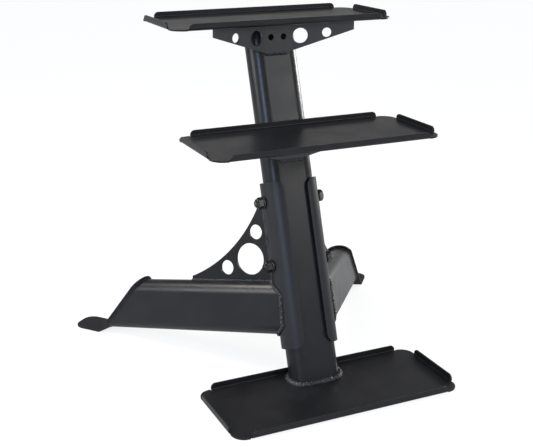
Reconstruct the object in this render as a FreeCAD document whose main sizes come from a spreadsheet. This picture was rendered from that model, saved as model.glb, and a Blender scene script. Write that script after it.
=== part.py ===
import FreeCAD, Part
import math
import operator
import os
from types import SimpleNamespace

import Sketcher

# Three-tier tray rack: a leaning flat-oval post carries three trays, and a bolted collar
# with two splayed legs props it up. Millimetres and degrees. X runs along the trays,
# Y to the rear, Z up. The origin is under the middle of the base tray, on the floor.

SIZES = {
    # post: flat-oval tube that leans to the rear
    "lean_angle": 18.6,
    "post_foot_y": 73.4,
    "post_width": 120,
    "post_depth": 60,
    "post_wall": 3,
    # trays: folded sheet with four upturned flanges and open, rounded corner tabs
    "tray_sheet": 4,
    "tray_depth": 234,
    "base_tray_length": 555,
    "base_flange_length": 480,
    "shelf_length": 540,
    "shelf_flange_length": 466,
    "side_flange_length": 154,
    "base_flange_height": 17.5,
    "shelf_flange_height": 15.5,
    "flange_corner": 10.5,
    "fold_radius": 2.5,
    "fold_relief": 2.5,
    "tab_corner": 30,
    "tab_inset": 2.5,
    "middle_tray_height": 560,
    "top_tray_height": 790,
    "top_tray_forward": 6.3,
    # brackets: one folded plate under each shelf, welded to the front of the post
    "bracket_sheet": 5,
    "bracket_drop": 67.5,
    "bracket_face_width": 63,
    "bracket_wing": 147,
    "bracket_sweep_angle": 18.3,
    "bracket_tip_drop": 20,
    "bracket_fold": 4,
    "face_hole": 14,
    "face_hole_pitch": 31,
    "face_hole_drop": 33,
    "wing_hole": 34.5,
    "wing_hole_along": 24,
    "wing_hole_drop": 32.3,
    "tip_hole": 21.5,
    "tip_hole_along": 84.5,
    "tip_hole_drop": 26,
    # collar: flat-oval sleeve, open at the front, that the legs are welded to
    "collar_wall": 5,
    "collar_side_gap": 3,
    "collar_front_gap": 5,
    "collar_bottom": 80,
    "collar_length": 381.5,
    "collar_mouth": 59,
    "lip_corner": 20,
    # clamp bolts through collar and post
    "bolt_size": 16,
    "bolt_play": 0.3,
    "upper_bolt_drop": 45.5,
    "lower_bolt_rise": 40.3,
    "hex_across": 24,
    "head_height": 10,
    "nut_height": 15,
    "bolt_end": 3,
    "washer_across": 30,
    "washer_sheet": 3,
    "thread_play": 0.1,
    # legs: flat-oval tubes set on edge, closed by a folded plate that is also the foot
    "leg_splay_angle": 35.1,
    "leg_rise_angle": 4.65,
    "leg_offset": 40,
    "leg_ground_gap": 4.5,
    "leg_tube_height": 124,
    "leg_tube_width": 60,
    "leg_wall": 3,
    "leg_reach": 476,
    "leg_end_angle": 45,
    "foot_sheet": 4,
    "foot_width": 72,
    "foot_top_margin": 11,
    "foot_tab": 88,
    "foot_tab_corner": 26,
    "foot_fold": 8,
    # gussets: plates with three lightening holes between each leg and the collar
    "gusset_sheet": 6,
    "gusset_height": 174,
    "gusset_top": 64.5,
    "gusset_reach": 263,
    "gusset_end": 10,
    "gusset_sweep_radius": 350,
    "upper_hole": 34.5,
    "upper_hole_along": 75.5,
    "upper_hole_rise": 114,
    "large_hole": 74,
    "large_hole_along": 95,
    "large_hole_rise": 51,
    "lower_hole": 34.5,
    "lower_hole_along": 160.5,
    "lower_hole_rise": 31,
    # weld beads
    "post_bead": 11,
    "bracket_bead": 8,
    "bracket_bead_length": 58,
    "gusset_bead": 5,
}

Vector = FreeCAD.Vector
UP = Vector(0, 0, 1)
LEFT, RIGHT = -1, 1
SPARE = 20  # how far a cutting outline runs past what it cuts

doc = FreeCAD.newDocument("tray_rack")
sheet = doc.addObject("Spreadsheet::Sheet", "Sizes")
for row, (name, number) in enumerate(SIZES.items(), 1):
    sheet.set(f"A{row}", name)
    sheet.set(f"B{row}", str(number))
    sheet.setAlias(f"B{row}", name)
doc.recompute()


# ---- sizes that carry their own sheet expression -------------------------------------


class Size:
    """A number together with the sheet expression that gives it."""

    def __init__(self, text, value):
        self.text = text
        self.value = value

    def __add__(self, other):
        return combine(self, "+", other)

    def __radd__(self, other):
        return combine(other, "+", self)

    def __sub__(self, other):
        return combine(self, "-", other)

    def __rsub__(self, other):
        return combine(other, "-", self)

    def __mul__(self, other):
        return combine(self, "*", other)

    def __rmul__(self, other):
        return combine(other, "*", self)

    def __truediv__(self, other):
        return combine(self, "/", other)

    def __neg__(self):
        return combine(0, "-", self)


SIGNS = {"+": operator.add, "-": operator.sub, "*": operator.mul, "/": operator.truediv}


def as_size(number):
    return number if isinstance(number, Size) else Size(f"({number})", number)


def combine(left, sign, right):
    left, right = as_size(left), as_size(right)
    return Size(f"({left.text} {sign} {right.text})", SIGNS[sign](left.value, right.value))


def sine(angle):
    return Size(f"sin({angle.text})", math.sin(math.radians(angle.value)))


def cosine(angle):
    return Size(f"cos({angle.text})", math.cos(math.radians(angle.value)))


def tangent(angle):
    return sine(angle) / cosine(angle)


def arccosine(ratio):
    return Size(f"(acos({ratio.text}) / 1 deg)", math.degrees(math.acos(ratio.value)))


def arctangent(ratio):
    return Size(f"(atan({ratio.text}) / 1 deg)", math.degrees(math.atan(ratio.value)))


def root(square):
    return Size(f"sqrt({square.text})", math.sqrt(square.value))


def vector(x, y, z):
    return "vector({}; {}; {})".format(*(as_size(part).text for part in (x, y, z)))


def turn(axis, angle):
    return f"rotation({vector(*axis)}; {as_size(angle).text})"


def placed(base, *turns):
    return f"placement({base}; {' * '.join(turns) or turn((0, 0, 1), 0)})"


size = SimpleNamespace(**{name: Size(f"Sizes.{name}", value) for name, value in SIZES.items()})

# ---- sketches and features -----------------------------------------------------------


def new_body(label, place=None):
    made = doc.addObject("PartDesign::Body", label)
    made.Label = label
    made.AllowCompound = True
    if place:
        made.setExpression("Placement", place)
    return made


def new_sketch(body, plane="XY_Plane", offset=None):
    made = body.newObject("Sketcher::SketchObject", f"{body.Label}_sketch")
    support = next(f for f in body.Origin.OriginFeatures if f.Role == plane)
    made.AttachmentSupport = [(support, "")]
    made.MapMode = "FlatFace"
    if offset:
        made.setExpression("AttachmentOffset", offset)
    return made


def bind(sketch, constraint, number):
    index = sketch.addConstraint(constraint)
    if isinstance(number, Size):
        sketch.setExpression(f"Constraints[{index}]", number.text)


def pin(sketch, edge, point, x, y):
    """Ties one point of the sketch to its two sizes."""
    for axis, number in (("DistanceX", x), ("DistanceY", y)):
        bind(sketch, Sketcher.Constraint(axis, -1, 1, edge, point, as_size(number).value), number)


def arc_between(start, end, radius):
    """The shorter arc from start to end, centred to the left for a positive radius."""
    chord = end - start
    half = chord.Length / 2
    aside = Vector(-chord.y, chord.x, 0).normalize() * math.copysign(1, radius)
    centre = (start + end) / 2 + aside * math.sqrt(max(radius**2 - half**2, 0))
    first, last = (start, end) if radius > 0 else (end, start)
    angles = [math.atan2(p.y - centre.y, p.x - centre.x) for p in (first, last)]
    return Part.ArcOfCircle(Part.Circle(centre, UP, abs(radius)), *angles)


def outline(sketch, points, arcs=None):
    """A closed loop through the points. arcs gives the radius of the edge after a point."""
    arcs = arcs or {}
    corners = [Vector(as_size(x).value, as_size(y).value, 0) for x, y in points]
    first = sketch.GeometryCount
    ends = []
    for index, (start, end) in enumerate(zip(corners, corners[1:] + corners[:1])):
        if index in arcs:
            radius = as_size(arcs[index])
            sketch.addGeometry(arc_between(start, end, radius.value), False)
            ends.append((1, 2) if radius.value > 0 else (2, 1))
        else:
            sketch.addGeometry(Part.LineSegment(start, end), False)
            ends.append((1, 2))
    for index, (x, y) in enumerate(points):
        after = (index + 1) % len(points)
        edge, other = first + index, first + after
        sketch.addConstraint(
            Sketcher.Constraint("Coincident", edge, ends[index][1], other, ends[after][0])
        )
        pin(sketch, edge, ends[index][0], x, y)
    for index, radius in arcs.items():
        radius = radius if as_size(radius).value > 0 else -radius
        length = as_size(radius).value
        bind(sketch, Sketcher.Constraint("Radius", first + index, length), radius)


def circle(sketch, x, y, across):
    centre = Vector(as_size(x).value, as_size(y).value, 0)
    edge = sketch.addGeometry(Part.Circle(centre, UP, across.value / 2), False)
    pin(sketch, edge, 3, x, y)
    bind(sketch, Sketcher.Constraint("Diameter", edge, across.value), across)


def oval(sketch, width, height):
    """A flat oval about the origin: two straight sides joined by half circles."""
    wide = width.value > height.value
    radius = (height if wide else width) / 2
    straight = (width - height) / 2 if wide else (height - width) / 2
    along = Vector(1, 0, 0) if wide else Vector(0, 1, 0)
    across = Vector(-along.y, along.x, 0)
    reach, bulge = along * straight.value, across * radius.value
    heading = math.atan2(along.y, along.x)
    quarter = math.pi / 2
    first = sketch.GeometryCount
    far_cap = Part.Circle(reach, UP, radius.value)
    near_cap = Part.Circle(-reach, UP, radius.value)
    sketch.addGeometry(
        [
            Part.ArcOfCircle(far_cap, heading - quarter, heading + quarter),
            Part.LineSegment(reach + bulge, -reach + bulge),
            Part.ArcOfCircle(near_cap, heading + quarter, heading + 3 * quarter),
            Part.LineSegment(-reach - bulge, reach - bulge),
        ],
        False,
    )
    for index in range(4):
        after = first + (index + 1) % 4
        sketch.addConstraint(Sketcher.Constraint("Tangent", first + index, 2, after, 1))
    for edge, end in ((first, straight), (first + 2, -straight)):
        pin(sketch, edge, 3, end if wide else 0, 0 if wide else end)
        bind(sketch, Sketcher.Constraint("Radius", edge, radius.value), radius)


def hexagon(sketch, x, y, across):
    """A hexagon standing on a corner, sized across its flats."""
    corner = across / root(Size("3", 3))
    steps = [(0, 2), (1, 1), (1, -1), (0, -2), (-1, -1), (-1, 1)]
    outline(sketch, [(x + across / 2 * a, y + corner / 2 * b) for a, b in steps])


def pad(body, sketch, length, both=False, backwards=False, taper=None):
    made = body.newObject("PartDesign::Pad", f"{body.Label}_pad")
    made.Profile = sketch
    made.SideType = "Symmetric" if both else "One side"
    made.Reversed = backwards
    made.Length = as_size(length).value
    made.setExpression("Length", as_size(length).text)
    if taper is not None:
        made.TaperAngle = taper
    return made


def pocket(body, sketch, both=True, backwards=False):
    made = body.newObject("PartDesign::Pocket", f"{body.Label}_cut")
    made.Profile = sketch
    made.Type = "ThroughAll"
    made.SideType = "Symmetric" if both else "One side"
    made.Reversed = backwards
    return made


def round_edges(body, spots, radius):
    """Fillets the edges of the body's last feature whose middles lie at the spots."""
    doc.recompute()
    last = body.Tip
    names = []
    for index, edge in enumerate(last.Shape.Edges, 1):
        middle = edge.valueAt((edge.FirstParameter + edge.LastParameter) / 2)
        if any(middle.distanceToPoint(spot) < 0.05 for spot in spots):
            names.append(f"Edge{index}")
    made = body.newObject("PartDesign::Fillet", f"{body.Label}_fillet")
    made.Base = (last, names)
    made.Radius = radius.value
    made.setExpression("Radius", radius.text)
    return made


# ---- frames --------------------------------------------------------------------------

lean_frame = placed(vector(0, size.post_foot_y, 0), turn((1, 0, 0), -size.lean_angle))


def post_front(height):
    """How far back the front face of the post is at a height above the floor."""
    half_depth = size.post_depth / 2 / cosine(size.lean_angle)
    return size.post_foot_y - half_depth + height * tangent(size.lean_angle)


def post_middle(height):
    return size.post_foot_y + height * tangent(size.lean_angle)


def leg_section(side, along=0):
    """Sketch offset square to a leg: X across it, Y up its section, at a place along it."""
    run = along * cosine(size.leg_rise_angle)
    base = vector(
        side * (size.leg_offset + run * sine(size.leg_splay_angle)),
        run * cosine(size.leg_splay_angle),
        leg_height + along * sine(size.leg_rise_angle),
    )
    heading = turn((0, 0, 1), 180 - side * size.leg_splay_angle)
    return placed(base, heading, turn((1, 0, 0), 90 - size.leg_rise_angle))


def leg_heading(side):
    """The turns from the collar to a leg's middle plane: X along the leg, Y up its section."""
    heading = turn((0, 0, 1), 90 - side * size.leg_splay_angle)
    return heading, turn((1, 0, 0), 90), turn((0, 0, 1), size.leg_rise_angle)


def leg_side(side):
    """Sketch offset in a leg's middle plane."""
    base = vector(side * size.leg_offset, 0, leg_height)
    return placed(base, *leg_heading(side))


collar_width = size.post_width + 2 * (size.collar_side_gap + size.collar_wall)
collar_depth = size.post_depth + 2 * (size.collar_front_gap + size.collar_wall)
collar_straight = (collar_width - collar_depth) / 2
collar_top = size.collar_bottom + size.collar_length
ridge = size.leg_tube_height / 2

# how far a leg climbs for each step along it, and for each step up its section
leg_run = cosine(size.leg_splay_angle) * sine(size.lean_angle)
leg_climb = sine(size.leg_rise_angle) * cosine(size.lean_angle) - cosine(size.leg_rise_angle) * leg_run
section_climb = cosine(size.leg_rise_angle) * cosine(size.lean_angle) + sine(size.leg_rise_angle) * leg_run

# a leg meets the collar at the height that brings its far lower end just above the floor
foot_slant = size.leg_end_angle
lower_reach = size.leg_reach + (ridge * cosine(foot_slant) - size.foot_sheet) / sine(foot_slant)
leg_height = (size.leg_ground_gap + ridge * section_climb - lower_reach * leg_climb) / cosine(size.lean_angle)

# the clamp bolts sit below the collar's top and above the legs
upper_bolt = collar_top - size.upper_bolt_drop
lower_bolt = leg_height + ridge * cosine(size.leg_rise_angle) + size.lower_bolt_rise
bolt_heights = (upper_bolt, lower_bolt)


def cut_level(body, level, reach, away):
    """Cuts a leaning piece level with the floor, at a height, on the side that away gives."""
    rise = reach * tangent(size.lean_angle)
    middle = level / cosine(size.lean_angle)
    corners = [(-reach, middle - rise), (reach, middle + rise)]
    corners += [(reach, middle + rise + away), (-reach, middle - rise + away)]
    sketch = new_sketch(body, "YZ_Plane")
    outline(sketch, corners)
    return pocket(body, sketch)


def cut_to_collar(body):
    """Trims a piece to the outside of the collar."""
    sketch = new_sketch(body)
    oval(sketch, collar_width, collar_depth)
    return pocket(body, sketch)


def cut_at_foot(body, side, inset):
    """Cuts along the foot plate's slope, inset from the plate's outer face."""
    tall = size.leg_tube_height
    slope = size.leg_end_angle
    reach = size.leg_reach - inset / sine(slope)
    shift = tall * cosine(slope) / sine(slope)
    away = 3 * tall
    points = [(reach - shift, tall), (reach + shift, -tall)]
    points += [(reach + away, -tall), (reach + away, tall)]
    sketch = new_sketch(body, offset=leg_side(side))
    outline(sketch, points)
    return pocket(body, sketch)


# ---- pieces --------------------------------------------------------------------------


def tray(label, length, flange_length, flange_height, y, z):
    body = new_body(label, placed(vector(0, y, z)))
    half_length, half_depth = length / 2, size.tray_depth / 2
    tab_x, tab_y = half_length - size.tab_inset, half_depth - size.tab_inset
    fold = size.fold_radius + size.tray_sheet
    notch_x = flange_length / 2 + size.fold_relief
    notch_y = size.side_flange_length / 2 + size.fold_relief
    corner = [
        (half_length - fold, notch_y),
        (tab_x, notch_y),
        (tab_x, tab_y),
        (notch_x, tab_y),
        (notch_x, half_depth - fold),
    ]
    points = list(corner)
    points += [(-x, y) for x, y in reversed(corner)]
    points += [(-x, -y) for x, y in corner]
    points += [(x, -y) for x, y in reversed(corner)]
    sketch = new_sketch(body)
    outline(sketch, points)
    pad(body, sketch, size.tray_sheet)
    spots = [
        Vector(a * tab_x.value, b * tab_y.value, size.tray_sheet.value / 2)
        for a in (-1, 1)
        for b in (-1, 1)
    ]
    round_edges(body, spots, size.tab_corner)
    for plane, half, width in (
        ("YZ_Plane", half_depth, flange_length),
        ("XZ_Plane", half_length, size.side_flange_length),
    ):
        sketch = new_sketch(body, plane)
        for a in (-1, 1):
            outline(
                sketch,
                [
                    (a * (half - fold), 0),
                    (a * half, fold),
                    (a * half, flange_height),
                    (a * (half - size.tray_sheet), flange_height),
                    (a * (half - size.tray_sheet), fold),
                    (a * (half - fold), size.tray_sheet),
                ],
                {0: a * fold, 4: -a * size.fold_radius},
            )
        pad(body, sketch, width, both=True)
    top, radius = flange_height, size.flange_corner
    for plane, width in (("XZ_Plane", flange_length), ("YZ_Plane", size.side_flange_length)):
        sketch = new_sketch(body, plane)
        for a in (-1, 1):
            end, beyond = width / 2, width / 2 + size.fold_relief / 2
            outline(
                sketch,
                [
                    (a * end, top - radius),
                    (a * (end - radius), top),
                    (a * (end - radius), top + SPARE),
                    (a * beyond, top + SPARE),
                    (a * beyond, top - radius),
                ],
                {0: a * radius},
            )
        pocket(body, sketch)
    return body


def post():
    body = new_body("post", lean_frame)
    low = size.post_width
    length = size.top_tray_height / cosine(size.lean_angle) + 2 * low
    sketch = new_sketch(body, offset=placed(vector(0, 0, -low)))
    oval(sketch, size.post_width, size.post_depth)
    oval(
        sketch,
        size.post_width - 2 * size.post_wall,
        size.post_depth - 2 * size.post_wall,
    )
    pad(body, sketch, length)
    cut_level(body, size.tray_sheet, size.post_depth, -2 * low)
    cut_level(body, size.top_tray_height, size.post_depth, 2 * low)
    bolt_holes(body)
    return body


def bolt_holes(body):
    sketch = new_sketch(body, "YZ_Plane")
    for height in bolt_heights:
        circle(sketch, 0, height, size.bolt_size + 2 * size.bolt_play)
    return pocket(body, sketch)


def bracket(label, height):
    back = post_front(height - size.bracket_drop)
    body = new_body(label, placed(vector(0, back - size.bracket_sheet, height)))
    half, wing, sweep = size.bracket_face_width / 2, size.bracket_wing, size.bracket_sweep_angle
    thick = size.bracket_sheet
    tip = (half + wing * cosine(sweep), -wing * sine(sweep))
    tip_back = (tip[0] + thick * sine(sweep), tip[1] + thick * cosine(sweep))
    half_back = half + thick * (1 - cosine(sweep)) / sine(sweep)
    right = [(half, 0), tip, tip_back, (half_back, thick)]
    sketch = new_sketch(body)
    outline(sketch, right + [(-x, y) for x, y in reversed(right)])
    pad(body, sketch, size.bracket_drop, backwards=True)
    middle = -size.bracket_drop.value / 2
    folds = (
        (half, as_size(0), size.bracket_fold),
        (half_back, thick, size.bracket_fold + thick),
    )
    for x, y, radius in folds:
        spots = [Vector(a * x.value, y.value, middle) for a in (-1, 1)]
        round_edges(body, spots, radius)
    slope = (size.bracket_drop - size.bracket_tip_drop) / (tip[0] - half)
    out = tip[0] + SPARE
    sketch = new_sketch(body, "XZ_Plane")
    for a in (-1, 1):
        outline(
            sketch,
            [
                (a * half, -size.bracket_drop),
                (a * out, -size.bracket_drop + slope * (out - half)),
                (a * out, -size.bracket_drop - SPARE),
                (a * half, -size.bracket_drop - SPARE),
            ],
        )
    pocket(body, sketch)
    sketch = new_sketch(body, "XZ_Plane")
    for a in (-1, 1):
        circle(sketch, a * size.face_hole_pitch / 2, -size.face_hole_drop, size.face_hole)
    pocket(body, sketch)
    for a in (-1, 1):
        along_wing = placed(vector(a * half, 0, 0), turn((0, 1, 0), -a * sweep))
        sketch = new_sketch(body, "XZ_Plane", along_wing)
        circle(sketch, a * size.wing_hole_along, -size.wing_hole_drop, size.wing_hole)
        circle(sketch, a * size.tip_hole_along, -size.tip_hole_drop, size.tip_hole)
        pocket(body, sketch)
    return body


def bracket_weld(label, height):
    """A fillet weld in the corner under the bracket's face, against the leaning post."""
    corner_y = post_front(height - size.bracket_drop)
    body = new_body(label, placed(vector(0, corner_y, height - size.bracket_drop)))
    sketch = new_sketch(body, "YZ_Plane")
    bead = size.bracket_bead
    outline(
        sketch,
        [
            (0, 0),
            (-bead * tangent(size.lean_angle), -bead),
            (-size.bracket_sheet, 0),
        ],
        {1: -1.2 * bead},
    )
    pad(body, sketch, size.bracket_bead_length, both=True)
    return body


def collar():
    body = new_body("collar", lean_frame)
    sketch = new_sketch(body, offset=placed(vector(0, 0, size.collar_bottom)))
    oval(sketch, collar_width, collar_depth)
    oval(sketch, collar_width - 2 * size.collar_wall, collar_depth - 2 * size.collar_wall)
    pad(body, sketch, size.collar_length)
    mouth, radius = size.collar_mouth / 2, size.lip_corner
    low, high = size.collar_bottom, collar_top
    sketch = new_sketch(body, "XZ_Plane")
    outline(
        sketch,
        [
            (mouth, low + radius),
            (mouth, high - radius),
            (mouth + radius, high),
            (mouth + radius, high + SPARE),
            (-mouth - radius, high + SPARE),
            (-mouth - radius, high),
            (-mouth, high - radius),
            (-mouth, low + radius),
            (-mouth - radius, low),
            (-mouth - radius, low - SPARE),
            (mouth + radius, low - SPARE),
            (mouth + radius, low),
        ],
        {1: -radius, 5: -radius, 7: -radius, 11: -radius},
    )
    pocket(body, sketch, both=False, backwards=True)
    bolt_holes(body)
    return body


def across_clamp(body, distance):
    """A sketch square to the bolts, at a distance to the right of the post's middle."""
    return new_sketch(body, "YZ_Plane", placed(vector(0, 0, distance)))


def clamp_pieces():
    """Two bolts, their lock nuts and four washers. Each kind is one group."""
    seat = collar_width / 2
    face = seat + size.washer_sheet
    bolts = new_body("clamp_bolts", lean_frame)
    sketch = across_clamp(bolts, -face - size.nut_height - size.bolt_end)
    for height in bolt_heights:
        circle(sketch, 0, height, size.bolt_size)
    pad(bolts, sketch, 2 * face + size.nut_height + size.bolt_end)
    sketch = across_clamp(bolts, face)
    for height in bolt_heights:
        hexagon(sketch, 0, height, size.hex_across)
    pad(bolts, sketch, size.head_height)
    nuts = new_body("clamp_nuts", lean_frame)
    sketch = across_clamp(nuts, -face - size.nut_height)
    for height in bolt_heights:
        hexagon(sketch, 0, height, size.hex_across)
        circle(sketch, 0, height, size.bolt_size + 2 * size.thread_play)
    pad(nuts, sketch, size.nut_height)
    washers = new_body("clamp_washers", lean_frame)
    for start in (-face, seat):
        sketch = across_clamp(washers, start)
        for height in bolt_heights:
            circle(sketch, 0, height, size.washer_across)
            circle(sketch, 0, height, size.bolt_size + 2 * size.bolt_play)
        pad(washers, sketch, size.washer_sheet)
    return [bolts, nuts, washers]


def leg_start():
    """Where a leg's outer side is nearest the collar, measured along the leg."""
    return -(size.leg_offset - collar_straight) * sine(size.leg_splay_angle)


def leg(label, side):
    body = new_body(label, lean_frame)
    sketch = new_sketch(body, offset=leg_section(side, leg_start()))
    oval(sketch, size.leg_tube_width, size.leg_tube_height)
    oval(
        sketch,
        size.leg_tube_width - 2 * size.leg_wall,
        size.leg_tube_height - 2 * size.leg_wall,
    )
    pad(body, sketch, size.leg_reach + 2 * size.leg_tube_height)
    cut_to_collar(body)
    cut_at_foot(body, side, size.foot_sheet)
    return body


def gusset(label, side):
    body = new_body(label, lean_frame)
    sketch = new_sketch(body, offset=leg_side(side))
    top = ridge + size.gusset_height
    outline(
        sketch,
        [
            (0, ridge),
            (size.gusset_reach, ridge),
            (size.gusset_reach, ridge + size.gusset_end),
            (size.gusset_top, top),
            (0, top),
        ],
        {2: -size.gusset_sweep_radius},
    )
    circle(sketch, size.upper_hole_along, ridge + size.upper_hole_rise, size.upper_hole)
    circle(sketch, size.large_hole_along, ridge + size.large_hole_rise, size.large_hole)
    circle(sketch, size.lower_hole_along, ridge + size.lower_hole_rise, size.lower_hole)
    pad(body, sketch, size.gusset_sheet, both=True)
    cut_to_collar(body)
    return body


def collar_contact(aside, distance=0):
    """How far along a leg the collar's outside lies, a little to one side of the leg."""
    radius = collar_depth / 2 + distance
    off_x = size.leg_offset - collar_straight
    toward = off_x * sine(size.leg_splay_angle)
    across = off_x * cosine(size.leg_splay_angle) + aside
    return root(radius * radius - across * across) - toward


def gusset_weld(label, side):
    """Fillet beads on both faces of a gusset: along the leg's ridge and up the collar."""
    body = new_body(label, lean_frame)
    half, bead = size.gusset_sheet / 2, size.gusset_bead
    start = collar_contact(0, bead) + bead
    sketch = new_sketch(body, offset=leg_section(side, start))
    for a in (-1, 1):
        outline(
            sketch,
            [
                (a * half, ridge - bead),
                (a * (half + 2 * bead), ridge - bead),
                (a * half, ridge + bead),
            ],
        )
    pad(body, sketch, size.gusset_reach - start)
    sketch = new_sketch(body, offset=leg_section(side))
    oval(sketch, size.leg_tube_width, size.leg_tube_height)
    pocket(body, sketch)
    low = ridge + 2 * bead
    length = size.gusset_height - 2 * bead
    heading = turn((0, 0, 1), -side * size.leg_splay_angle)
    base = vector(side * size.leg_offset, 0, leg_height + low)
    sketch = new_sketch(body, offset=placed(base, heading))
    for a in (-1, 1):
        meet = collar_contact(side * a * half)
        outline(
            sketch,
            [
                (a * half, meet - bead),
                (a * (half + bead), meet - bead),
                (a * half, meet + bead),
            ],
        )
    pad(body, sketch, length)
    cut_to_collar(body)
    return body


def post_weld():
    """The bead round the foot of the post, on the base tray and clear of its rear flange."""
    body = new_body("post_weld")
    level, bead, lean = size.tray_sheet, size.post_bead, size.lean_angle
    sketch = new_sketch(body, offset=placed(vector(0, post_middle(level), level)))
    oval(sketch, size.post_width + 2 * bead, size.post_depth / cosine(lean) + 2 * bead)
    pad(body, sketch, bead, taper=-45)
    base = vector(0, size.post_foot_y, 0)
    sketch = new_sketch(body, offset=placed(base, turn((1, 0, 0), -lean)))
    oval(sketch, size.post_width, size.post_depth)
    pocket(body, sketch)
    reach = size.post_width
    wall = size.tray_depth / 2 - size.tray_sheet - size.fold_radius
    sketch = new_sketch(body)
    outline(sketch, [(-reach, wall), (reach, wall), (reach, wall + SPARE), (-reach, wall + SPARE)])
    pocket(body, sketch)
    return body


def foot_plate(label, side):
    """A plate that closes a leg's slanted end and folds outwards to lie on the floor.

    The body's frame sits on the fold: X along it, Y in towards the leg, Z up from the
    floor. The leg leans with the post, so the plate's strip crosses the fold askew.
    """
    slope = size.leg_end_angle
    tilt = arccosine(leg_climb * sine(slope) + section_climb * cosine(slope))
    upslope = section_climb * sine(slope) - leg_climb * cosine(slope)
    askew = arctangent(side * sine(size.leg_splay_angle) * sine(size.lean_angle) / upslope)
    end_height = leg_height * cosine(size.lean_angle) + size.leg_reach * leg_climb
    drop = (end_height - size.foot_sheet) / upslope

    at_leg = placed(vector(side * size.leg_offset, 0, leg_height), *leg_heading(side))
    on_slope = placed(vector(size.leg_reach, 0, 0), turn((0, 0, 1), 90 - slope), turn((0, 1, 0), 90))
    on_fold = placed(vector(0, -drop, 0), turn((0, 0, 1), askew), turn((1, 0, 0), -tilt))
    body = new_body(label, " * ".join([lean_frame, at_leg, on_slope, on_fold]))

    thick, bend, far = size.foot_sheet, size.foot_fold, 2 * size.leg_tube_height
    start = bend * tangent(tilt / 2)
    up, out = cosine(tilt), sine(tilt)
    sketch = new_sketch(body, "YZ_Plane")
    outline(
        sketch,
        [
            (-far, 0),
            (-start, 0),
            (start * up, start * out),
            (far * up, far * out),
            (far * up + thick * out, far * out - thick * up),
            (start * up + thick * out, start * out - thick * up),
            (-start, -thick),
            (-far, -thick),
        ],
        {1: bend, 5: -(bend + thick)},
    )
    pad(body, sketch, far, both=True)

    half = size.foot_width / 2
    run, drift = cosine(askew), sine(askew)
    edge = half / run

    def strip(along, aside):
        """A point of the strip, by its distance along it and from its middle line."""
        return (along * drift + aside * run, along * run - aside * drift)

    crest = drop + ridge / sine(slope) + size.foot_top_margin
    sketch = new_sketch(body, offset=placed(vector(0, 0, 0), turn((1, 0, 0), tilt)))
    outline(
        sketch,
        [
            (-far, 0),
            (-edge, 0),
            strip(crest - half, -half),
            strip(crest, 0),
            strip(crest - half, half),
            (edge, 0),
            (far, 0),
            (far, far),
            (-far, far),
        ],
        {2: -half, 3: -half},
    )
    pocket(body, sketch)

    tab, corner = -size.foot_tab, size.foot_tab_corner
    sketch = new_sketch(body)
    outline(
        sketch,
        [
            (-far, 0),
            (-edge, 0),
            strip(tab + corner, -half),
            strip(tab, corner - half),
            strip(tab, half - corner),
            strip(tab + corner, half),
            (edge, 0),
            (far, 0),
            (far, -far),
            (-far, -far),
        ],
        {2: corner, 4: corner},
    )
    pocket(body, sketch)

    sketch = new_sketch(body)
    for a in (-1, 1):
        outline(sketch, [(a * edge, 0), (a * far, 0), (a * far, thick), (a * edge, thick)])
    pocket(body, sketch, both=False)
    return body


# ---- assembly ------------------------------------------------------------------------

pieces = [
    tray("base_tray", size.base_tray_length, size.base_flange_length, size.base_flange_height, 0, 0),
    tray(
        "middle_tray",
        size.shelf_length,
        size.shelf_flange_length,
        size.shelf_flange_height,
        post_front(size.middle_tray_height) - size.tray_depth / 2,
        size.middle_tray_height,
    ),
    tray(
        "top_tray",
        size.shelf_length,
        size.shelf_flange_length,
        size.shelf_flange_height,
        post_middle(size.top_tray_height) - size.top_tray_forward,
        size.top_tray_height,
    ),
    post(),
    post_weld(),
    bracket("middle_bracket", size.middle_tray_height),
    bracket("top_bracket", size.top_tray_height),
    bracket_weld("middle_bracket_weld", size.middle_tray_height),
    bracket_weld("top_bracket_weld", size.top_tray_height),
    collar(),
]
pieces += clamp_pieces()
for name, side in (("left", LEFT), ("right", RIGHT)):
    pieces += [
        leg(f"{name}_leg", side),
        gusset(f"{name}_gusset", side),
        gusset_weld(f"{name}_gusset_weld", side),
        foot_plate(f"{name}_foot_plate", side),
    ]

doc.recompute()
for thing in doc.Objects:
    if "Invalid" in thing.State or "Error" in thing.State:
        raise RuntimeError(f"{thing.Name} failed: {thing.State}")
for piece in pieces:
    if piece.Shape.isNull() or not piece.Shape.isValid() or not piece.Shape.Solids:
        raise RuntimeError(f"{piece.Label} has no sound solid")

os.makedirs("parts", exist_ok=True)
for piece in pieces:
    piece.Shape.exportStep(f"parts/{piece.Label}.step")
    solids = len(piece.Shape.Solids)
    print(f"{piece.Label}: {solids} solid(s), {piece.Shape.Volume / 1000:.1f} cm3")
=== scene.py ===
import math
from functools import partial

import bmesh
import bpy
from mathutils import Matrix, Vector


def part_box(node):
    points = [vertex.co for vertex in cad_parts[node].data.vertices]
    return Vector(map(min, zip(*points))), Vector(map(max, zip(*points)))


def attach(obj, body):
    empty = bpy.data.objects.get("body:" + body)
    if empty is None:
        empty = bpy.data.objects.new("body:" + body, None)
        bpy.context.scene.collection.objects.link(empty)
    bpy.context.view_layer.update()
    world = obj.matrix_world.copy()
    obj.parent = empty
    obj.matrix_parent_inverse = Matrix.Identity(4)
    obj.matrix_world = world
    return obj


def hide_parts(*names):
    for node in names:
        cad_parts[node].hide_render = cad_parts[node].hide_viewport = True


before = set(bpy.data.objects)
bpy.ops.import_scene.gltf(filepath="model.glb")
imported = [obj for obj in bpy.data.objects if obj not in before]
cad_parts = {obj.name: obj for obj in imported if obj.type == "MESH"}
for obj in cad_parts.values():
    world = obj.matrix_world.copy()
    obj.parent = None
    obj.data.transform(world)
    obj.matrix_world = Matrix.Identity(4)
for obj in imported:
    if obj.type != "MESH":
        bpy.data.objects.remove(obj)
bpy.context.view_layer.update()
mm = 0.001
print("frame loaded:", len(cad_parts), "CAD pieces")


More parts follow.
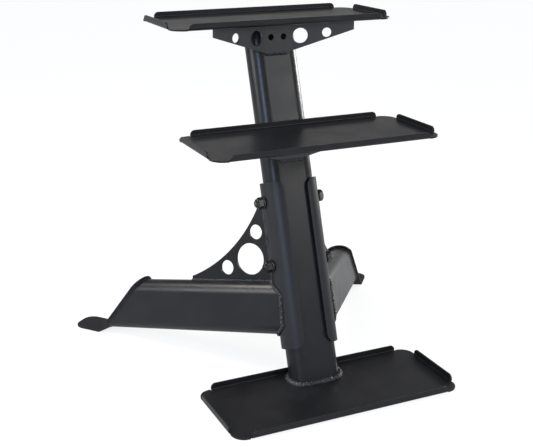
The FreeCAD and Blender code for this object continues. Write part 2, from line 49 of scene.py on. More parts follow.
def plug(tree, socket, value):
    if isinstance(value, bpy.types.NodeSocket):
        tree.links.new(value, socket)
    else:
        socket.default_value = value


def addNode(tree, kind, inputs=None, **settings):
    node = tree.nodes.new(kind)
    node.location = (190 * (len(tree.nodes) % 12), -260 * (len(tree.nodes) // 12))
    for name, value in settings.items():
        setattr(node, name, value)
    for name, value in (inputs or {}).items():
        plug(tree, node.inputs[name], value)
    return node


def calc(tree, operation, *values):
    node = addNode(tree, "ShaderNodeMath", operation=operation)
    for socket, value in zip(node.inputs, values):
        plug(tree, socket, value)
    return node.outputs[0]


def spread(tree, value, low, high):  # a 0..1 mask stretched between two values
    node = addNode(tree, "ShaderNodeMapRange", {"Value": value, "To Min": low, "To Max": high})
    return node.outputs["Result"]


def between(tree, value, edges, **settings):  # a noise cut to a 0..1 mask between two levels
    node = addNode(tree, "ShaderNodeMapRange",
                   {"Value": value, "From Min": edges[0], "From Max": edges[1]}, **settings)
    return node.outputs["Result"]


def mixColour(tree, share, first, second):
    node = addNode(tree, "ShaderNodeMix", {0: share, 6: first, 7: second}, data_type="RGBA")
    return node.outputs[2]


def newTree(name, kind, inputs, outputs):
    tree = bpy.data.node_groups.new(name, kind)
    for label, socketType, value in inputs:
        socket = tree.interface.new_socket(label, in_out="INPUT", socket_type=socketType)
        if value is not None:
            socket.default_value = value
    for label, socketType in outputs:
        tree.interface.new_socket(label, in_out="OUTPUT", socket_type=socketType)
    return tree, addNode(tree, "NodeGroupInput").outputs, addNode(tree, "NodeGroupOutput").inputs


peelNoise = {"grainFiner": 3.7, "cloudLevels": (0.3, 0.7), "speckLevels": (0.62, 0.78)}


def makeOrangePeel():  # the fine pebbling of baked powder, and its slow drift in tone
    tree, given, result = newTree(
        "orangePeel", "ShaderNodeTree",
        [
            ("Place", "NodeSocketVector", None),
            ("Pebble Size", "NodeSocketFloat", 2.0 * mm),
            ("Grain Share", "NodeSocketFloat", 0.35),
            ("Cloud Size", "NodeSocketFloat", 70 * mm),
        ],
        [("Height", "NodeSocketFloat"), ("Cloud", "NodeSocketFloat"), ("Speck", "NodeSocketFloat")],
    )
    place = given["Place"]
    pebbleScale = calc(tree, "DIVIDE", 1.0, given["Pebble Size"])
    pebbles = addNode(tree, "ShaderNodeTexNoise",
                      {"Vector": place, "Scale": pebbleScale, "Detail": 1.5, "Roughness": 0.45})
    grainScale = calc(tree, "MULTIPLY", pebbleScale, peelNoise["grainFiner"])
    grain = addNode(tree, "ShaderNodeTexNoise",
                    {"Vector": place, "Scale": grainScale, "Detail": 2.0})
    cloudScale = calc(tree, "DIVIDE", 1.0, given["Cloud Size"])
    cloud = addNode(tree, "ShaderNodeTexNoise",
                    {"Vector": place, "Scale": cloudScale, "Detail": 4.0, "Distortion": 0.6})
    fine = calc(tree, "MULTIPLY", grain.outputs["Fac"], given["Grain Share"])
    tree.links.new(calc(tree, "ADD", pebbles.outputs["Fac"], fine), result["Height"])
    soft = between(tree, cloud.outputs["Fac"], peelNoise["cloudLevels"],
                   interpolation_type="SMOOTHSTEP")
    tree.links.new(soft, result["Cloud"])
    speck = between(tree, grain.outputs["Fac"], peelNoise["speckLevels"])
    tree.links.new(speck, result["Speck"])
    return tree


markNoise = {  # the streaks run a little askew, and show only inside broad patches
    "axis": (0.2, 0.1, 1.0), "angle": 0.35, "patchScale": 9.0, "patchLevels": (0.42, 0.66),
    "bare": 0.72, "coverShare": 0.3, "full": 0.85,
}


def makeHandMarks():  # faint rubbed streaks where weights and hands slide over the coat
    tree, given, result = newTree(
        "handMarks", "ShaderNodeTree",
        [
            ("Place", "NodeSocketVector", None),
            ("Streak Length", "NodeSocketFloat", 45 * mm),
            ("Streak Width", "NodeSocketFloat", 3 * mm),
            ("Cover", "NodeSocketFloat", 0.25),
            ("Strength", "NodeSocketFloat", 1.0),
        ],
        [("Mask", "NodeSocketFloat")],
    )
    along = calc(tree, "DIVIDE", 1.0, given["Streak Length"])
    across = calc(tree, "DIVIDE", 1.0, given["Streak Width"])
    stretch = addNode(tree, "ShaderNodeCombineXYZ", {"X": along, "Y": across, "Z": across})
    turned = addNode(tree, "ShaderNodeVectorRotate",
                     {"Vector": given["Place"], "Axis": markNoise["axis"],
                      "Angle": markNoise["angle"]})
    place = addNode(tree, "ShaderNodeVectorMath",
                    {0: turned.outputs[0], 1: stretch.outputs[0]}, operation="MULTIPLY")
    streaks = addNode(tree, "ShaderNodeTexNoise",
                      {"Vector": place.outputs[0], "Scale": 1.0, "Detail": 3.0, "Roughness": 0.6})
    patches = addNode(tree, "ShaderNodeTexNoise",
                      {"Vector": given["Place"], "Scale": markNoise["patchScale"], "Detail": 2.0})
    cover = calc(tree, "MULTIPLY", given["Cover"], markNoise["coverShare"])
    limit = calc(tree, "SUBTRACT", markNoise["bare"], cover)
    lines = between(tree, streaks.outputs["Fac"], (limit, markNoise["full"]))
    where = between(tree, patches.outputs["Fac"], markNoise["patchLevels"])
    mask = calc(tree, "MULTIPLY", lines, where)
    tree.links.new(calc(tree, "MULTIPLY", mask, given["Strength"]), result["Mask"])
    return tree


orangePeel = makeOrangePeel()
handMarks = makeHandMarks()


def placeGroup(tree, group, inputs):
    node = addNode(tree, "ShaderNodeGroup", node_tree=group)
    for name, value in inputs.items():
        plug(tree, node.inputs[name], value)
    return node.outputs


trayCoat = {
    "dark": (0.0068, 0.0069, 0.0080, 1), "pale": (0.0096, 0.0097, 0.0110, 1),
    "rub": (0.022, 0.022, 0.022, 1), "rubCover": 0.25,
    "smooth": 0.33, "dull": 0.39, "shine": 0.36,
    "pebble": 2.2, "grain": 0.45, "depth": 0.10,
}
tubeCoat = {
    "dark": (0.0074, 0.0078, 0.0098, 1), "pale": (0.0098, 0.0104, 0.0128, 1),
    "rub": (0.014, 0.014, 0.015, 1), "rubCover": 0.03, "rubStrength": 0.25,
    "smooth": 0.30, "dull": 0.35, "shine": 0.42,
    "pebble": 2.6, "grain": 0.30, "depth": 0.07,
}
sleeveCoatBlueLit = {  # the clamped collar has a duller coat than the post; its bluer tone is painted light, the cast of the blue lamp on the left
    "dark": (0.0074, 0.0079, 0.0104, 1), "pale": (0.0098, 0.0106, 0.0138, 1),
    "rub": (0.014, 0.014, 0.015, 1), "rubCover": 0.03, "rubStrength": 0.25,
    "smooth": 0.42, "dull": 0.47, "shine": 0.50,
    "pebble": 2.6, "grain": 0.30, "depth": 0.07,
}
# a paler copy of the same black coat: painted light for the brightly lit bracket faces
bracketCoatLit = {
    "dark": (0.0195, 0.0193, 0.0206, 1), "pale": (0.0275, 0.0272, 0.0288, 1),
    "rub": (0.032, 0.032, 0.033, 1), "rubCover": 0.18,
    "smooth": 0.42, "dull": 0.50, "shine": 0.76,
    "pebble": 2.0, "grain": 0.45, "depth": 0.10,
}
plateCoat = {
    "dark": (0.0074, 0.0076, 0.0090, 1), "pale": (0.0102, 0.0104, 0.0124, 1),
    "rub": (0.022, 0.022, 0.023, 1), "rubCover": 0.18,
    "smooth": 0.42, "dull": 0.50, "shine": 0.30,
    "pebble": 2.0, "grain": 0.45, "depth": 0.10,
}
edgeCoatAndHighlight = {  # powder pulls thin and glossy over a sheared edge; the paler tone is also a painted highlight along the rounded edges
    "dark": (0.014, 0.014, 0.0145, 1), "pale": (0.026, 0.026, 0.027, 1),
    "rub": (0.050, 0.049, 0.048, 1), "rubCover": 0.6,
    "smooth": 0.30, "dull": 0.40, "shine": 0.40,
    "pebble": 1.4, "grain": 0.5, "depth": 0.05,
}
# the same black coat, with a paler tone that is a painted glint on the weld ripples
beadCoatAndGlint = {
    "dark": (0.010, 0.010, 0.0110, 1), "pale": (0.024, 0.024, 0.027, 1),
    "rub": (0.055, 0.055, 0.058, 1), "rubCover": 0.9,
    "smooth": 0.32, "dull": 0.46, "shine": 0.56,
    "pebble": 1.1, "grain": 0.9, "depth": 0.25,
}
blackZinc = {
    "dark": (0.010, 0.010, 0.011, 1), "pale": (0.024, 0.024, 0.025, 1),
    "rub": (0.14, 0.138, 0.13, 1), "rubCover": 0.35,
    "smooth": 0.17, "dull": 0.30, "shine": 0.8, "metal": 0.3,
    "pebble": 0.9, "grain": 0.6, "depth": 0.03,
}
wear = {"speckShare": 0.35, "polish": 0.08}  # how far specks look rubbed, how much a rub smooths


def makeFinish(name, look):
    material = bpy.data.materials.new(name)
    material.use_nodes = True
    tree = material.node_tree
    shader = tree.nodes["Principled BSDF"]
    place = addNode(tree, "ShaderNodeTexCoord").outputs["Object"]
    peel = placeGroup(tree, orangePeel, {
        "Place": place, "Pebble Size": look["pebble"] * mm, "Grain Share": look["grain"]})
    marks = placeGroup(tree, handMarks, {
        "Place": place, "Cover": look["rubCover"], "Strength": look.get("rubStrength", 1.0)})
    tone = mixColour(tree, peel["Cloud"], look["dark"], look["pale"])
    specks = calc(tree, "MULTIPLY", peel["Speck"], wear["speckShare"])
    rubbed = calc(tree, "MAXIMUM", marks["Mask"], specks)
    plug(tree, shader.inputs["Base Color"], mixColour(tree, rubbed, tone, look["rub"]))
    rough = spread(tree, peel["Cloud"], look["smooth"], look["dull"])
    polish = calc(tree, "MULTIPLY", marks["Mask"], wear["polish"])
    plug(tree, shader.inputs["Roughness"], calc(tree, "SUBTRACT", rough, polish))
    shader.inputs["Metallic"].default_value = look.get("metal", 0.0)
    shader.inputs["Specular IOR Level"].default_value = look["shine"]
    bump = addNode(tree, "ShaderNodeBump", {
        "Height": peel["Height"], "Distance": look["depth"] * mm, "Strength": 1.0})
    plug(tree, shader.inputs["Normal"], bump.outputs["Normal"])
    return material


finishes = {
    "tray": makeFinish("satinBlackTray", trayCoat),
    "tube": makeFinish("satinBlackTube", tubeCoat),
    "sleeve": makeFinish("satinBlackSleeveBlueLit", sleeveCoatBlueLit),
    "bracket": makeFinish("satinBlackBracketLit", bracketCoatLit),
    "plate": makeFinish("satinBlackPlate", plateCoat),
    "edge": makeFinish("satinBlackEdgeHighlight", edgeCoatAndHighlight),
    "bead": makeFinish("coatedWeldGlint", beadCoatAndGlint),
    "zinc": makeFinish("blackZinc", blackZinc),
}
print("finishes made:", ", ".join(finishes))


steelPieces = {  # finish and edge rounding in mm
    "base_tray": ("tray", 0.7), "middle_tray": ("tray", 0.7), "top_tray": ("tray", 0.7),
    "post": ("tube", 0.5), "collar": ("sleeve", 1.1),
    "middle_bracket": ("bracket", 0.4), "top_bracket": ("bracket", 0.4),
    "left_leg": ("tube", 0.5), "right_leg": ("tube", 0.5),
    "left_gusset": ("plate", 0.5), "right_gusset": ("plate", 0.5),
    "left_foot_plate": ("plate", 0.6), "right_foot_plate": ("plate", 0.6),
}
edgeWork = {  # merge in mm, angles in degrees: below flat, faces join; above sharp, edges round
    "merge": 0.005, "flat": 0.4, "sharp": 38, "segments": 2, "flatWeight": 80,
}


def pieceName(node):
    words = node.split("_")
    return words[0] + "".join(word.capitalize() for word in words[1:]) + "Steel"


def newObject(name, data):
    made = bpy.data.objects.new(name, data)
    bpy.context.scene.collection.objects.link(made)
    return made


def finishSteel(node, finish, rounding):
    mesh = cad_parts[node].data.copy()
    shape = bmesh.new()
    shape.from_mesh(mesh)
    bmesh.ops.remove_doubles(shape, verts=shape.verts, dist=edgeWork["merge"] * mm)
    bmesh.ops.dissolve_limit(shape, angle_limit=math.radians(edgeWork["flat"]),
                             verts=shape.verts, edges=shape.edges, delimit={"NORMAL"})
    for face in shape.faces:
        face.smooth = True
        face.material_index = 0
    shape.to_mesh(mesh)
    shape.free()
    if "custom_normal" in mesh.attributes:
        mesh.attributes.remove(mesh.attributes["custom_normal"])
    mesh.materials.clear()
    mesh.materials.append(finishes[finish])
    mesh.materials.append(finishes["edge"])
    piece = newObject(pieceName(node), mesh)
    bevel = piece.modifiers.new("roundEdges", "BEVEL")
    bevel.width = rounding * mm
    bevel.segments = edgeWork["segments"]
    bevel.limit_method = "ANGLE"
    bevel.angle_limit = math.radians(edgeWork["sharp"])
    bevel.material = 1  # the edge finish with its painted highlight, second in the list
    bevel.miter_outer = "MITER_ARC"
    flats = piece.modifiers.new("flatFaces", "WEIGHTED_NORMAL")
    flats.keep_sharp = True
    flats.weight = edgeWork["flatWeight"]
    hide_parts(node)
    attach(piece, "root")


for node, (finish, rounding) in steelPieces.items():
    finishSteel(node, finish, rounding)
print("steel pieces finished:", len(steelPieces))


stand = {  # mm and degrees
    "lean": 18.6, "postFoot": 73.4, "post": (120, 60), "collar": (136, 80),
    "legHeight": 170.86, "legOffset": 40, "legSplay": 35.1, "legRise": 4.65,
    "leg": (60, 124), "legReach": 476, "footSheet": 4, "traySheet": 4,
    "gusset": 6, "gussetReach": 263, "gussetHeight": 174,
    "collarSearch": 200.0,  # along a leg, beyond where it leaves the collar
}


def turn(degrees, axis):
    return Matrix.Rotation(math.radians(degrees), 4, axis)


postFrame = Matrix.Translation((0, stand["postFoot"], 0)) @ turn(-stand["lean"], "X")


def legInPost(side):  # X runs out along the leg and Y up its section
    base = Matrix.Translation((side * stand["legOffset"], 0, stand["legHeight"]))
    heading = turn(90 - side * stand["legSplay"], "Z") @ turn(90, "X")
    return base @ heading @ turn(stand["legRise"], "Z")


def ovalRing(width, depth, steps=24):  # a flat oval, long way up or long way across
    radius, reach = min(width, depth) / 2, abs(width - depth) / 2
    ring = []
    for end in (0, 180):
        for i in range(steps + 1):
            angle = math.radians(end - 90 + 180 * i / steps)
            shift = reach if end == 0 else -reach
            ring.append((shift + radius * math.cos(angle), radius * math.sin(angle)))
    return ring if width > depth else [(-y, x) for x, y in ring]


def meetCollar(side, climb, across):  # how far along the leg the collar's outside lies
    toPost = legInPost(side)
    width, depth = stand["collar"]
    near, far = 0.0, stand["collarSearch"]
    for _ in range(30):  # halved until the step is far below a micrometre
        middle = (near + far) / 2
        spot = toPost @ Vector((middle, climb, across))
        out = math.hypot(max(abs(spot.x) - (width - depth) / 2, 0), spot.y) > depth / 2
        near, far = (near, middle) if out else (middle, far)
    return far


def standPoint(matrix, *place):
    return (postFrame @ matrix @ Vector(place)) * mm


beadNoise = {  # slices to a ripple, sides round a bead, noise scales, and the ripples' drift
    "slices": 7.0, "sides": 16, "wander": 120.0, "lumps": 260.0, "drift": 2.4, "seedStep": 1.7,
}


def closeTree(tree, shape, given, result):  # plain geometry with one finish
    real = addNode(tree, "GeometryNodeRealizeInstances", {"Geometry": shape})
    finish = addNode(tree, "GeometryNodeSetMaterial",
                     {"Geometry": real.outputs["Geometry"], "Material": given["Finish"]})
    tree.links.new(finish.outputs["Geometry"], result["Geometry"])


def makeWeldBead():
    tree, given, result = newTree(
        "weldBead", "GeometryNodeTree",
        [
            ("Geometry", "NodeSocketGeometry", None),
            ("Width", "NodeSocketFloat", 6 * mm),
            ("Ripple Pitch", "NodeSocketFloat", 3 * mm),
            ("Ripple Depth", "NodeSocketFloat", 0.6 * mm),
            ("Unevenness", "NodeSocketFloat", 0.8 * mm),
            ("Lowest", "NodeSocketFloat", 0.5 * mm),
            ("Seed", "NodeSocketInt", 3),
            ("Finish", "NodeSocketMaterial", None),
        ],
        [("Geometry", "NodeSocketGeometry")],
    )
    path = addNode(tree, "GeometryNodeMeshToCurve", {"Mesh": given["Geometry"]})
    step = calc(tree, "DIVIDE", given["Ripple Pitch"], beadNoise["slices"])
    even = addNode(tree, "GeometryNodeResampleCurve",
                   {"Curve": path.outputs["Curve"], "Length": step}, mode="LENGTH")
    keep = addNode(tree, "GeometryNodeCaptureAttribute")
    keep.capture_items.new("FLOAT", "Along")
    plug(tree, keep.inputs[0], even.outputs["Curve"])
    plug(tree, keep.inputs[1], addNode(tree, "GeometryNodeSplineParameter").outputs["Length"])
    radius = calc(tree, "MULTIPLY", given["Width"], 0.5)
    section = addNode(tree, "GeometryNodeCurvePrimitiveCircle",
                      {"Resolution": beadNoise["sides"], "Radius": radius})
    bead = addNode(tree, "GeometryNodeCurveToMesh", {
        "Curve": keep.outputs[0], "Profile Curve": section.outputs["Curve"], "Fill Caps": True})
    place = addNode(tree, "GeometryNodeInputPosition").outputs[0]
    seed = calc(tree, "MULTIPLY", given["Seed"], beadNoise["seedStep"])

    def noise(scale, detail):
        node = addNode(tree, "ShaderNodeTexNoise",
                       {"Vector": place, "W": seed, "Scale": scale, "Detail": detail},
                       noise_dimensions="4D")
        return node.outputs["Fac"]

    wander = noise(beadNoise["wander"], 2.0)
    lumps = noise(beadNoise["lumps"], 3.0)
    phase = calc(tree, "DIVIDE", keep.outputs[1], given["Ripple Pitch"])
    phase = calc(tree, "ADD", phase, calc(tree, "MULTIPLY", wander, beadNoise["drift"]))
    saw = calc(tree, "SUBTRACT", calc(tree, "MULTIPLY", calc(tree, "FRACT", phase), 2.0), 1.0)
    ripple = calc(tree, "SUBTRACT", 0.5, calc(tree, "MULTIPLY", saw, saw))  # round crests
    ripple = calc(tree, "MULTIPLY", ripple, given["Ripple Depth"])
    centred = calc(tree, "SUBTRACT", lumps, 0.5)
    uneven = calc(tree, "MULTIPLY", centred, given["Unevenness"])
    lift = calc(tree, "ADD", ripple, calc(tree, "MULTIPLY", uneven, 2.0))
    push = addNode(tree, "ShaderNodeVectorMath",
                   {0: addNode(tree, "GeometryNodeInputNormal").outputs[0]}, operation="SCALE")
    plug(tree, push.inputs["Scale"], lift)
    ripples = addNode(tree, "GeometryNodeSetPosition",
                      {"Geometry": bead.outputs["Mesh"], "Offset": push.outputs[0]})
    parts = addNode(tree, "ShaderNodeSeparateXYZ",
                    {"Vector": addNode(tree, "GeometryNodeInputPosition").outputs[0]})
    held = addNode(tree, "ShaderNodeCombineXYZ", {
        "X": parts.outputs["X"], "Y": parts.outputs["Y"],
        "Z": calc(tree, "MAXIMUM", parts.outputs["Z"], given["Lowest"])})
    above = addNode(tree, "GeometryNodeSetPosition",
                    {"Geometry": ripples.outputs["Geometry"], "Position": held.outputs[0]})
    smooth = addNode(tree, "GeometryNodeSetShadeSmooth", {"Geometry": above.outputs["Geometry"]})
    closeTree(tree, smooth.outputs["Geometry"], given, result)
    return tree


def setInputs(modifier, values):
    for item in modifier.node_group.interface.items_tree:
        if item.item_type == "SOCKET" and item.in_out == "INPUT" and item.name in values:
            modifier[item.identifier] = values[item.name]


def grow(name, mesh, tree, values):  # runs a node tree over a mesh and keeps the plain result
    piece = newObject(name, mesh)
    modifier = piece.modifiers.new(tree.name, "NODES")
    modifier.node_group = tree
    setInputs(modifier, values)
    bpy.context.view_layer.update()
    depsgraph = bpy.context.evaluated_depsgraph_get()
    grown = bpy.data.meshes.new_from_object(piece.evaluated_get(depsgraph))
    piece.modifiers.clear()
    piece.data = grown
    if not grown.materials:
        grown.materials.append(values["Finish"])
    return piece


def pathMesh(name, paths):
    points, edges = [], []
    for path, closed in paths:
        first = len(points)
        points += path
        edges += [(i, i + 1) for i in range(first, len(points) - 1)]
        if closed:
            edges.append((len(points) - 1, first))
    mesh = bpy.data.meshes.new(name)
    mesh.from_pydata(points, edges, [])
    return mesh


beads = {  # mm: set is how far the bead's middle stands off the corner, short is cut off its ends
    "postFoot": {"width": 14.5, "pitch": 7.0, "depth": 1.7, "uneven": 2.6, "set": 2.4,
                 "clear": 1.5, "lift": 0.5, "steps": 28},
    "leg": {"width": 7.5, "pitch": 6.5, "depth": 2.2, "uneven": 1.5, "set": 2.6},
    "foot": {"width": 3.2, "pitch": 2.6, "depth": 0.4, "uneven": 0.5, "set": 0.2},
    "gusset": {"width": 7.5, "pitch": 6.0, "depth": 1.6, "uneven": 1.6,
               "short": 3, "sink": 0.2, "steps": 12},
    "bracket": {"width": 10, "pitch": 6.0, "depth": 1.6, "uneven": 1.8, "set": 2.6, "short": 2},
}


def postFootPath():  # an oval on the base tray, kept clear of its rear flange
    bead = beads["postFoot"]
    width, depth = stand["post"]
    lean, sheet = math.radians(stand["lean"]), stand["traySheet"]
    middle = stand["postFoot"] + sheet * math.tan(lean)
    stretch = (depth / math.cos(lean) + 2 * bead["set"]) / (depth + 2 * bead["set"])
    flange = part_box("base_tray")[1].y / mm - sheet
    furthest = flange - bead["clear"] - middle - bead["width"] / 2
    height = sheet + bead["lift"]
    ring = ovalRing(width + 2 * bead["set"], depth + 2 * bead["set"], bead["steps"])
    return [([
        Vector((x, middle + min(y * stretch, furthest), height)) * mm for x, y in ring
    ], True)]


def legPath(side):
    return [([
        standPoint(legInPost(side), meetCollar(side, y, x) + beads["leg"]["set"], y, x)
        for x, y in ovalRing(*stand["leg"])
    ], True)]


def footPath(side):
    end = stand["legReach"] - stand["footSheet"] * math.sqrt(2) - beads["foot"]["set"]
    return [([
        standPoint(legInPost(side), end - y, y, x) for x, y in ovalRing(*stand["leg"])
    ], True)]


def gussetPaths(side):  # along the leg's ridge and up the collar, on both faces
    paths = []
    bead = beads["gusset"]
    half, ridge = stand["gusset"] / 2, stand["leg"][1] / 2
    for face in (-half, half):
        start = meetCollar(side, ridge, face) + bead["short"]
        ends = (start, stand["gussetReach"])
        paths.append(([
            standPoint(legInPost(side), x, ridge - bead["sink"], face) for x in ends
        ], False))
        top = ridge + stand["gussetHeight"] - bead["short"]
        steps = bead["steps"]
        paths.append(([
            standPoint(legInPost(side), meetCollar(side, y, face), y, face)
            for y in (ridge + (top - ridge) * i / steps for i in range(steps + 1))
        ], False))
    return paths


def bracketPath(node):
    bead = beads["bracket"]
    low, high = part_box(node)
    inset, drop = bead["short"] * mm, bead["set"] * mm
    return [([
        Vector((x, high.y, high.z - drop)) for x in (low.x + inset, high.x - inset)
    ], False)]


def layBead(name, paths, kind, seed, replaced=()):
    bead = beads[kind]
    piece = grow(name, pathMesh(name, paths), weldBead, {
        "Width": bead["width"] * mm, "Ripple Pitch": bead["pitch"] * mm,
        "Ripple Depth": bead["depth"] * mm, "Unevenness": bead["uneven"] * mm,
        "Seed": seed, "Finish": finishes["bead"],
    })
    if replaced:
        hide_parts(*replaced)
    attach(piece, "root")


weldBead = makeWeldBead()
layBead("postFootBead", postFootPath(), "postFoot", 2, ["post_weld"])
for name, seed in (("middle", 5), ("top", 8)):
    weld = name + "_bracket_weld"
    layBead(name + "BracketBead", bracketPath(weld), "bracket", seed, [weld])
for name, side, seed in (("left", -1, 11), ("right", 1, 23)):
    layBead(name + "LegBead", legPath(side), "leg", seed)
    layBead(name + "FootBead", footPath(side), "foot", seed + 1)
    layBead(name + "GussetBead", gussetPaths(side), "gusset", seed + 2, [name + "_gusset_weld"])
print("weld beads laid")


clamp = {  # mm, measured along the bolts from the post's middle
    "seat": 68, "washer": (30, 3), "hole": 16.8, "thread": 16, "pitch": 2,
    "hexAcross": 24, "headHeight": 10, "nutHeight": 15, "crown": 3.6, "end": 3, "bolts": 2,
    "chamferShare": 0.96, "chamferTilt": 30,  # of the hexagon's width, and degrees
    "hexSteps": 60, "shankSteps": 40, "washerSteps": 48,
    "overlap": 1, "slack": 0.2, "threadShown": 7, "threadRows": 18, "rowStep": 0.35,
    "threadCrest": 0.15, "threadDepth": 1.1,
    "point": [(0.5, 1.1), (0, 1.7)],  # in from the bolt's tip, and thinner by
    "ringRadius": 11.0, "ringSink": 0.2,  # the nut's locking ring starts inside its hexagon
    "ring": [(1.0, 10.9), (0.3, 10.3), (0, 9.4)],  # in from the nut's end, and radius
    "boreGap": 0.1, "boreEnd": [(0.2, 0.5), (1.2, 0)], "boreFace": [(-1, 0), (0, 0.7)],
    "washerEdge": 0.5, "washerRim": 0.6, "washerLip": 0.4,
}


def hexRadius(angle, across):  # a hexagon that stands on a corner
    return across / 2 / math.cos((angle + math.pi / 6) % (math.pi / 3) - math.pi / 6)


def spin(shape, rows, steps, closed=False):  # rows give (x, radius) at an angle
    rings = []
    for row in rows:
        ring = []
        for i in range(steps):
            angle = 2 * math.pi * i / steps
            x, radius = row(angle) if callable(row) else row
            spot = Vector((x, radius * math.cos(angle), radius * math.sin(angle)))
            ring.append(shape.verts.new(spot * mm))
        rings.append(ring)
    pairs = list(zip(rings, rings[1:]))
    if closed:
        pairs.append((rings[-1], rings[0]))
    for a, b in pairs:
        for i in range(steps):
            j = (i + 1) % steps
            shape.faces.new((a[i], a[j], b[j], b[i]))
    if not closed:
        shape.faces.new(rings[0])
        shape.faces.new(list(reversed(rings[-1])))


def hexRows(start, end, across):  # chamfered at both ends
    chamfer = clamp["chamferShare"] * across / 2
    tilt = math.tan(math.radians(clamp["chamferTilt"]))
    way = 1 if end > start else -1

    def drop(angle):
        return way * tilt * (hexRadius(angle, across) - chamfer)

    return [
        (start, chamfer),
        lambda angle: (start + drop(angle), hexRadius(angle, across)),
        lambda angle: (end - drop(angle), hexRadius(angle, across)),
        (end, chamfer),
    ]


def boltBlank(shape):  # the thread is cut only where the nut shows it
    face = clamp["seat"] + clamp["washer"][1]
    radius, pitch = clamp["thread"] / 2, clamp["pitch"]
    tip = -face - clamp["nutHeight"] - clamp["end"]
    cut = tip + clamp["threadShown"]

    def thread(angle, x):
        turned = (x / pitch + angle / 2 / math.pi) % 1
        return x, radius - clamp["threadCrest"] - clamp["threadDepth"] * abs(turned - 0.5)

    spin(shape, hexRows(face, face + clamp["headHeight"], clamp["hexAcross"]), clamp["hexSteps"])
    rows = [(face + clamp["overlap"], radius - clamp["slack"]), (cut, radius - clamp["slack"])]
    for i in range(1, clamp["threadRows"] + 1):
        rows.append(partial(thread, x=cut - i * clamp["rowStep"]))
    rows += [(tip + along, radius - thinner) for along, thinner in clamp["point"]]
    spin(shape, rows, clamp["shankSteps"])


def nutBlank(shape):
    face = clamp["seat"] + clamp["washer"][1]
    end, bore = -face - clamp["nutHeight"], clamp["thread"] / 2 + clamp["boreGap"]
    crown = end + clamp["crown"]
    rows = hexRows(-face, crown, clamp["hexAcross"])
    rows.append((crown - clamp["ringSink"], clamp["ringRadius"]))
    rows += [(end + along, radius) for along, radius in clamp["ring"]]
    rows += [(end + along, bore + wider) for along, wider in clamp["boreEnd"]]
    rows += [(-face + along, bore + wider) for along, wider in clamp["boreFace"]]
    spin(shape, rows, clamp["hexSteps"], closed=True)


def washerBlank(shape):
    across, sheet = clamp["washer"]
    seat, radius, hole = clamp["seat"], across / 2, clamp["hole"] / 2
    for way in (-1, 1):
        inner, outer = way * seat, way * (seat + sheet)
        soft = clamp["washerEdge"] * way
        rows = [(inner, hole), (inner, radius - clamp["washerEdge"]), (inner + soft, radius),
                (outer - soft, radius), (outer, radius - clamp["washerRim"]),
                (outer, hole + clamp["washerLip"]), (outer - soft, hole)]
        spin(shape, rows, clamp["washerSteps"], closed=True)


def makeClampRow():
    tree, given, result = newTree(
        "clampRow", "GeometryNodeTree",
        [
            ("Geometry", "NodeSocketGeometry", None),
            ("Count", "NodeSocketInt", 2),
            ("First", "NodeSocketVector", None),
            ("Step", "NodeSocketVector", None),
            ("Lean", "NodeSocketFloat", 0.0),
            ("Finish", "NodeSocketMaterial", None),
        ],
        [("Geometry", "NodeSocketGeometry")],
    )
    row = addNode(tree, "GeometryNodeMeshLine", {"Count": given["Count"]}, mode="OFFSET")
    plug(tree, row.inputs["Start Location"], given["First"])
    plug(tree, row.inputs["Offset"], given["Step"])
    lean = addNode(tree, "ShaderNodeCombineXYZ", {"X": given["Lean"]})
    turned = addNode(tree, "FunctionNodeEulerToRotation", {0: lean.outputs[0]})
    copies = addNode(tree, "GeometryNodeInstanceOnPoints", {
        "Points": row.outputs["Mesh"], "Instance": given["Geometry"],
        "Rotation": turned.outputs[0]})
    closeTree(tree, copies.outputs[0], given, result)
    return tree


def addFasteners(name, node, blank):
    low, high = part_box("clamp_washers")
    lean = math.radians(stand["lean"])
    reach = clamp["washer"][0] / 2 * mm * math.cos(lean)  # a leaning washer's half height
    first = Vector((0, high.y - reach, high.z - reach))
    last = Vector((0, low.y + reach, low.z + reach))
    shape = bmesh.new()
    blank(shape)
    bmesh.ops.recalc_face_normals(shape, faces=shape.faces)
    mesh = bpy.data.meshes.new(name)
    shape.to_mesh(mesh)
    shape.free()
    piece = grow(name, mesh, clampRow, {
        "Count": clamp["bolts"], "First": first, "Step": last - first, "Lean": -lean,
        "Finish": finishes["zinc"]})
    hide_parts(node)
    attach(piece, "root")


clampRow = makeClampRow()
addFasteners("clampBoltPair", "clamp_bolts", boltBlank)
addFasteners("clampNutPair", "clamp_nuts", nutBlank)
addFasteners("clampWasherSet", "clamp_washers", washerBlank)
print("fasteners fitted")


studio = {  # glow is how white the floor looks where it is seen, shine its level in reflections
    "floorColour": (0.95, 0.95, 0.95, 1), "floorGlow": 0.80, "floorSize": 60, "floorShine": 0.42,
    "room": (0.92, 0.95, 1.0, 1), "roomLight": 1.0,
    # how bright the backdrop is in reflections, by the height of the direction: (height, level)
    "backdrop": [(0.0, 0.25), (0.12, 0.32), (0.21, 1.0), (0.30, 0.06), (0.50, 0.20), (0.70, 0.04)],
}
lamps = {  # place and target in metres, size across and up in metres, power in watts
    "leftWindow": ((-1.72, -1.72, 1.4), (0.0, 0.2, 0.5), (0.5, 1.1), 22, (0.55, 0.70, 1.0)),
    "leftSoftbox": ((-2.2, 0.5, 1.3), (0.0, 0.2, 0.5), (0.7, 0.9), 16, (1.0, 0.99, 1.0)),
    "leftTop": ((-1.3, 1.15, 2.2), (-0.2, 0.35, 0.2), (0.9, 0.9), 30, (1.0, 0.96, 0.87)),
    "frontTop": ((-0.1, -0.9, 2.5), (0.0, 0.2, 0.5), (1.2, 0.9), 13, (0.90, 0.94, 1.0)),
    "frontSoftbox": ((1.3, -2.0, 1.55), (0.0, 0.2, 0.5), (0.7, 0.9), 10, (1.0, 1.0, 0.97)),
    "rightSoftbox": ((2.2, 0.9, 0.82), (0.0, 0.2, 0.5), (0.7, 0.55), 27, (1.0, 0.99, 0.97)),
}
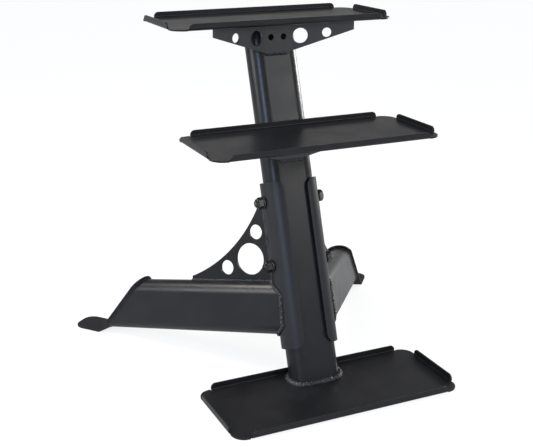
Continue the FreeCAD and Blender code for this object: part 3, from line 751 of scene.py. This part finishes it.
view = {"place": (-0.9669, -1.7689, 1.0774), "heading": 24.65, "dip": 18.63, "lens": 67.49}


def seenDirectly(tree, path):  # camera, glossy and glass rays see the backdrop, not the room light
    seen = calc(tree, "MAXIMUM", path["Is Camera Ray"], path["Is Glossy Ray"])
    return calc(tree, "MAXIMUM", seen, path["Is Transmission Ray"])


def addFloor():
    reach = studio["floorSize"] / 2
    mesh = bpy.data.meshes.new("floor")
    corners = [(-reach, -reach, 0), (reach, -reach, 0), (reach, reach, 0), (-reach, reach, 0)]
    mesh.from_pydata(corners, [], [(0, 1, 2, 3)])
    material = bpy.data.materials.new("paleFloor")
    material.use_nodes = True
    tree = material.node_tree
    tree.nodes.clear()
    paper = addNode(tree, "ShaderNodeBsdfDiffuse", {"Color": studio["floorColour"]})
    path = addNode(tree, "ShaderNodeLightPath").outputs
    level = calc(tree, "MAXIMUM", path["Is Camera Ray"], studio["floorShine"])
    glow = addNode(tree, "ShaderNodeEmission", {"Color": (1, 1, 1, 1), "Strength": level})
    share = calc(tree, "MULTIPLY", seenDirectly(tree, path), studio["floorGlow"])
    mix = addNode(tree, "ShaderNodeMixShader", {0: share, 1: paper.outputs[0], 2: glow.outputs[0]})
    out = addNode(tree, "ShaderNodeOutputMaterial")
    tree.links.new(mix.outputs[0], out.inputs["Surface"])
    floor = newObject("floor", mesh)
    mesh.materials.append(material)


def lightRoom():
    world = bpy.data.worlds.new("studioRoom")
    world.use_nodes = True
    tree = world.node_tree
    tree.nodes.clear()
    room = addNode(tree, "ShaderNodeBackground",
                   {"Color": studio["room"], "Strength": studio["roomLight"]})
    path = addNode(tree, "ShaderNodeLightPath").outputs
    way = addNode(tree, "ShaderNodeSeparateXYZ", {
        "Vector": addNode(tree, "ShaderNodeTexCoord").outputs["Generated"]})
    ramp = addNode(tree, "ShaderNodeValToRGB", {"Fac": way.outputs["Z"]})
    steps = ramp.color_ramp.elements
    for step, (height, bright) in zip(steps, studio["backdrop"]):
        step.position, step.color = height, (bright, bright, bright, 1)
    for height, bright in studio["backdrop"][len(steps):]:
        steps.new(height).color = (bright, bright, bright, 1)
    level = calc(tree, "MAXIMUM", ramp.outputs["Color"], path["Is Camera Ray"])
    white = addNode(tree, "ShaderNodeBackground", {"Color": (1, 1, 1, 1), "Strength": level})
    mix = addNode(tree, "ShaderNodeMixShader", {
        0: seenDirectly(tree, path), 1: room.outputs[0], 2: white.outputs[0]})
    out = addNode(tree, "ShaderNodeOutputWorld")
    tree.links.new(mix.outputs[0], out.inputs["Surface"])
    bpy.context.scene.world = world
    for name, (place, target, size, power, tint) in lamps.items():
        lamp = bpy.data.lights.new(name, "AREA")
        lamp.shape = "RECTANGLE"
        lamp.size, lamp.size_y = size
        lamp.energy, lamp.color = power, tint
        holder = newObject(name, lamp)
        holder.location = place
        aim = Vector(target) - Vector(place)
        holder.rotation_euler = aim.to_track_quat("-Z", "Y").to_euler()


def addCamera():
    camera = bpy.data.cameras.new("camera")
    camera.sensor_width, camera.sensor_fit = 36, "HORIZONTAL"
    camera.lens = view["lens"]
    holder = newObject("camera", camera)
    holder.location = view["place"]
    holder.rotation_euler = (math.radians(90 - view["dip"]), 0, -math.radians(view["heading"]))
    bpy.context.scene.camera = holder


addFloor()
lightRoom()
addCamera()
bpy.context.scene.view_settings.view_transform = "Standard"
print("floor, light and camera set")
